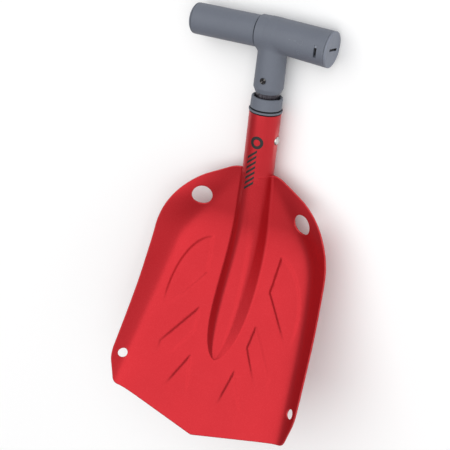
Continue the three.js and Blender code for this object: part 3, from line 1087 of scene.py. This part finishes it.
def capped_cone(points, matrix, low, high, radius_low, radius_high, fillet):
    """Distance to a rounded cone frustum about the Y of the matrix."""
    inverse = np.array(matrix.inverted())
    local = points @ inverse[:3, :3].T + inverse[:3, 3]
    across = np.hypot(local[:, 0], local[:, 2])
    t = np.clip((local[:, 1] - low) / (high - low), 0, 1)
    side = across - (radius_low + (radius_high - radius_low) * t)
    end = np.maximum(low - local[:, 1], local[:, 1] - high)
    side, end = side + fillet, end + fillet
    outside = np.hypot(np.maximum(side, 0), np.maximum(end, 0))
    return outside + np.minimum(np.maximum(side, end), 0) - fillet


def blended(first, second, width):
    """The union of two distances, with a fillet of about the width."""
    mix = np.maximum(width - np.abs(first - second), 0)
    return np.minimum(first, second) - mix**2 / (4 * width)


def handle_distance(points):
    barrel = capped_cone(points, RIGHT_ARM, ARM_START, BARREL_END, *BARREL_R, 0.35)
    stub = capped_cone(points, LEFT_ARM, ARM_START, STUB_END, STUB_R, STUB_R, 0.45)
    arms = blended(barrel, stub, 0.5)
    neck = capped_cone(points, ALONG_SHAFT, NECK_END, HANDLE_Y, 14.05, 13.3, 0.3)
    slope = (NECK_CHAMFER - NECK_END) / 2.2
    across = np.hypot(points[:, 0], points[:, 2])
    chamfer = ((across - CHAMFER_R) * slope - (points[:, 1] - NECK_END)) / math.hypot(1, slope)
    neck = -blended(-neck, -chamfer, 0.2)
    return blended(arms, neck, 3.2)


def onto_surface(points, distance):
    """Moves points onto the surface where the distance is nought."""
    reach = 0.02
    for _ in range(6):
        rises = [distance(points + d) - distance(points - d) for d in np.eye(3) * reach]
        slope = np.stack(rises, 1) / (2 * reach)
        slope /= np.maximum((slope**2).sum(axis=1, keepdims=True), 0.05)
        points = points - slope * distance(points)[:, None]
    return points


def handle_moulding():
    coarse = joined(
        moved(rod(16.2, -4.5, BARREL_END, 96), RIGHT_ARM),
        moved(rod(15.8, -4.5, STUB_END, 96), LEFT_ARM),
        rod(14, NECK_END, HANDLE_Y, 96),
    )
    obj = loose_object(coarse)
    step = obj.modifiers.new("skin", "REMESH")
    step.mode = "VOXEL"
    step.voxel_size = 0.55
    points, faces = taken(obj)
    return onto_surface(points, handle_distance), faces


def sector(inner, outer, low, high, steps, half):
    """Part of a ring about the right arm, from one turn to another, centred on the window."""
    turns = np.linspace(math.pi / 2 + low, math.pi / 2 + high, steps)
    outline = [(outer * math.cos(a), outer * math.sin(a)) for a in turns]
    outline += [(inner * math.cos(a), inner * math.sin(a)) for a in turns[::-1]]
    return moved(prism(outline, WINDOW - half, WINDOW + half), RIGHT_ARM)


def window_tool():
    """The slot through the barrel's front that shows the cap's indicator."""
    return sector(BARREL_BORE - 1, 19.0, -WINDOW_DOWN, WINDOW_UP, 17, WINDOW_HALF)


def handle_body():
    core = moved(turned([[0, 0], [10.5, 0], [10.5, 72, 0.5], [0, 72]], sides=96), LEFT_ARM)
    body = combined(handle_moulding(), core, operation="UNION")
    socket = prism(octagon(SHAFT_FLAT + GAP), NECK_END - 1, SHAFT_TOP + GAP)
    bore = moved(rod(BARREL_BORE, 18, BARREL_END + 1, 96), RIGHT_ARM)
    left_bore = moved(rod(8, 18, 73, 64), LEFT_ARM)
    body = combined(body, socket, bore, left_bore, window_tool(), rivet_hole())
    piece("handle_moulding", body, GREY, "handle_unit", nodes=["handle_body"])


handle_body()


def on_barrel(u, v, lift):
    """A place on the barrel's front. u is measured up round it and v along the arm."""
    radius = 15.75 + 0.85 * (v + 5) / (BARREL_END + 5) + lift
    angle = u / 16.2
    arm = Vector((-math.sin(angle) * radius, v, math.cos(angle) * radius))
    return tuple(RIGHT_ARM @ arm)


def barrel_marks():
    """Slightly raised rings beside the window, one with a dot, and a short bar."""
    marks = []
    for up in (3.9, -5.6):
        marks += [half_ring((up, 31.5), 1.9, 2.5, side) for side in (1, -1)]
    marks += [half_ring((-5.6, 31.5), 0.02, 0.8, side) for side in (1, -1)]
    marks.append(bar((3.9, 24.0), 0.7, 7.0, 0))
    shapes = [slab(rows, on_barrel, 0.16) for rows in marks]
    piece("barrel_marks", joined(*shapes), GREY, "handle_unit")


barrel_marks()


def neck_rivet():
    """A tubular rivet, with a dimple in each head."""
    half = [[0, 14.35], [1.0, 14.5, 0.3], [1.5, 15.0, 0.25], [2.3, 15.0, 0.5], [2.9, 14.6, 0.3],
            [2.9, 14.2, 0.1], [2.2, 14.2]]
    corners = half + [[c[0], -c[1], *c[2:]] for c in reversed(half)]
    rivet = moved(turned(corners, sides=48), shift_up(RIVET_Y) @ ALONG_Z)
    piece("neck_pin", rivet, RIVET, "handle_unit", nodes=["neck_rivet"])


def grip_sleeve():
    start = STUB_END + SLEEVE_GAP
    corners = [[10.8, start, 0.2], [GRIP_R, start, 0.5], [GRIP_R, GRIP_END, 0.35], [10.8, GRIP_END, 0.2]]
    piece("left_grip", moved(turned(corners, closed=True), LEFT_ARM), GREY, "handle_unit",
          nodes=["grip_sleeve"])


def grip_end_cap():
    foot = GRIP_END + GAP
    corners = [[0, 72.6], [10.5, 72.6, 0.4], [10.5, foot, 0.1], [14.4, foot, 0.3], [14.2, foot + 0.9, 1.2],
               [12.4, foot + 2.4, 2.0], [9, foot + 3, 4.0], [0, foot + 3.3]]
    piece("left_grip_cap", moved(turned(corners, steps=6), LEFT_ARM), GREY, "handle_unit",
          nodes=["grip_end_cap"])


def coin_cap():
    """The cap's head closes the barrel, and its hollow plug reaches in past the window."""
    head = BARREL_END + GAP
    face = head + 2.2
    corners = [
        [0, head - 1], [10.5, head - 1, 0.3], [10.5, 38, 0.3], [12.6, 38, 0.4], [12.6, 50, 0.2],
        [11.2, 50, 0.2], [11.2, 52.4, 0.2], [12.6, 52.4, 0.2], [12.6, head, 0.15], [16.6, head, 0.3],
        [16.6, face, 0.8], [0, face],
    ]
    width, depth, length = COIN_SLOT
    slot = boxed((-width / 2, face - depth, -length / 2), (width / 2, face + 1, length / 2))
    slot = moved(slot, Matrix.Rotation(SLOT_TURN, 4, "Y"))
    points, faces = combined(turned(corners), slot)
    # The cap is drawn in the lighter copy of the grey: painted light.
    cap = piece("barrel_cap", moved((points, faces), RIGHT_ARM), GREY_PAINTED_LIT, "cap_unit",
                nodes=["coin_cap"])
    # The coin slot's floor and walls, and the plug seen through the window, are painted black: painted shade
    # in the slot and behind the window.
    cap.data.materials.append(BLACK)
    for polygon, face_points in zip(cap.data.polygons, faces):
        middle = points[list(face_points)].mean(axis=0)
        slot_painted_shade = middle[1] > head and middle[1] < face - 0.1 and math.hypot(middle[0], middle[2]) < 9
        polygon.material_index = int(slot_painted_shade or middle[1] < head - 1)


def cap_oring():
    turn = np.linspace(0, 2 * math.pi, 25)[:-1]
    corners = [[12.1 + 0.75 * math.cos(a), 51.2 + 0.75 * math.sin(a)] for a in turn]
    seal = moved(turned(corners, closed=True), RIGHT_ARM)
    piece("barrel_cap_seal", seal, RUBBER, "cap_unit", nodes=["cap_oring"])


def indicator_lug():
    """It sits at the upper end of the window, and the turning cap carries it down to the lower end."""
    high = WINDOW_UP - math.radians(0.5)
    # The lug is drawn in the lighter copy of the grey: painted light.
    lug = sector(12.9, 16.1, high - LUG_TURN, high, 9, WINDOW_HALF - GAP)
    piece("cap_pointer", lug, GREY_PAINTED_LIT, "cap_unit", nodes=["indicator_lug"])


neck_rivet()
grip_sleeve()
grip_end_cap()
coin_cap()
cap_oring()
indicator_lug()


# ---- Floor, lights and camera ----

def floor_material():
    finish = Finish("pale_floor", srgb(246, 246, 246), roughness=0.85)
    finish.mottle(400, 2, 0.3, 0.7, 0.3, srgb(243, 243, 244))
    return finish.done()


def studio():
    half = 6.0
    mesh = bpy.data.meshes.new("studio_floor")
    level = CAD_BOX[0].z - 0.0004
    corners = [(-half, -half, level), (half, -half, level), (half, half, level), (-half, half, level)]
    mesh.from_pydata(corners, [], [(0, 1, 2, 3)])
    mesh.materials.append(floor_material())
    floor = bpy.data.objects.new("studio_floor", mesh)
    bpy.context.scene.collection.objects.link(floor)

    bpy.context.scene.world = studio_world()
    softbox("key", (-0.2, 1.25, 3.35), (6.2, 6.0), 165)
    bpy.context.scene.view_settings.view_transform = "Standard"


def studio_world():
    """A dim surround, brighter overhead and to the right."""
    world = bpy.data.worlds.new("studio")
    world.use_nodes = True
    tree = world.node_tree
    place = tree.nodes.new("ShaderNodeTexCoord")
    parts = tree.nodes.new("ShaderNodeSeparateXYZ")
    tree.links.new(place.outputs["Generated"], parts.inputs["Vector"])
    ranges = [("Z", 0.1, 0.9, 0.22, 0.42), ("X", 0.2, 1.0, 0.0, 0.9)]
    total = tree.nodes.new("ShaderNodeMath")
    for index, (axis, *limits) in enumerate(ranges):
        tree.links.new(map_range(tree, parts.outputs[axis], *limits), total.inputs[index])
    tree.links.new(total.outputs[0], tree.nodes["Background"].inputs["Strength"])
    tree.nodes["Background"].inputs["Color"].default_value = (1, 1, 1, 1)
    return world


def softbox(name, place, size, power):
    light = bpy.data.lights.new(name, "AREA")
    light.shape = "RECTANGLE"
    light.size, light.size_y = size
    light.energy = power
    obj = bpy.data.objects.new(name, light)
    obj.location = place
    obj.rotation_euler = (-Vector(place)).to_track_quat("-Z", "Y").to_euler()
    bpy.context.scene.collection.objects.link(obj)


CAMERA_ANGLES = (24.8, 24.84, 6.39)
CAMERA_PLACE = (428.9, 379.5, 988.7)
LENS = 98.8


def camera():
    """The view from above the coin cap's side, at arm's length."""
    azimuth, elevation, roll = map(math.radians, CAMERA_ANGLES)
    back = Vector((math.sin(azimuth) * math.cos(elevation), math.sin(elevation),
                   math.cos(azimuth) * math.cos(elevation)))
    right = Vector((0, 1, 0)).cross(back).normalized()
    up = back.cross(right)
    across = math.cos(roll) * right + math.sin(roll) * up
    along = -math.sin(roll) * right + math.cos(roll) * up
    data = bpy.data.cameras.new("camera")
    data.sensor_width = 36
    data.lens = LENS
    obj = bpy.data.objects.new("camera", data)
    place = (Vector(CAMERA_PLACE) + Vector(ORIGIN)) * MM
    turn = Matrix((across, along, back)).transposed().to_4x4()
    obj.matrix_world = Matrix.Translation(place) @ turn
    bpy.context.scene.collection.objects.link(obj)
    bpy.context.scene.camera = obj


studio()
camera()
